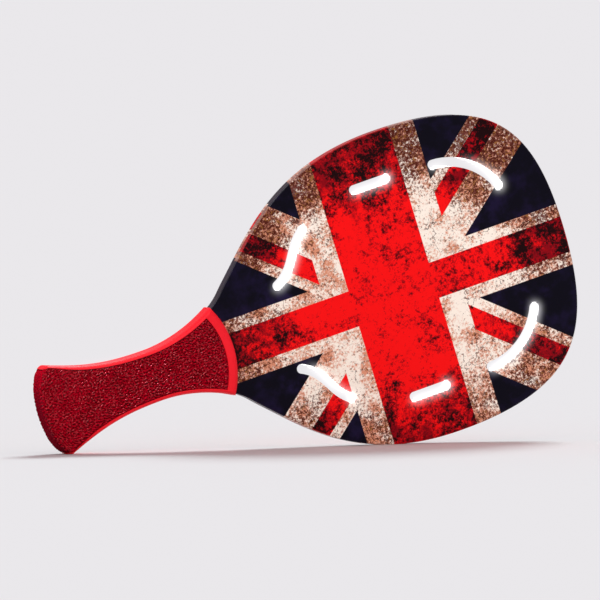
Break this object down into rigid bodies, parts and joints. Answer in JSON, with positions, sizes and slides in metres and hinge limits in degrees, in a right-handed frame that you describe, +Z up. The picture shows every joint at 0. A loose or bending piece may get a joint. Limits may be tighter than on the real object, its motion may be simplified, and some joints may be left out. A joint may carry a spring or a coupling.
{
  "type": "frescobol racket",
  "caption": "Beach paddle racket: slotted foam blade with printed laminate faces and a moulded two-part grip with a textured pad.",
  "frame": {"origin": "on the ground under the middle of the racket, half way through its thickness", "axes": "+X along the ground towards the blade, +Y from the front face to the back, +Z up; the racket leans on its edge, on the butt corner and the blade's lower edge"},
  "size_m": [0.4466, 0.018, 0.2512],
  "materials": {
    "foam": "matt closed-cell foam",
    "glass_fibre": "satin resin",
    "band": "satin",
    "print": "clear-coated print",
    "grip": "smooth satin",
    "pad": "pebbled"
  },
  "bodies": {
    "root": {"blade_core": "foam", "front_laminate": "glass_fibre", "back_laminate": "glass_fibre", "edge_band": "band", "front_print": "print", "back_print": "print", "front_grip_shell": "grip", "back_grip_shell": "grip", "grip_pad": "pad"}
  },
  "joints": []
}
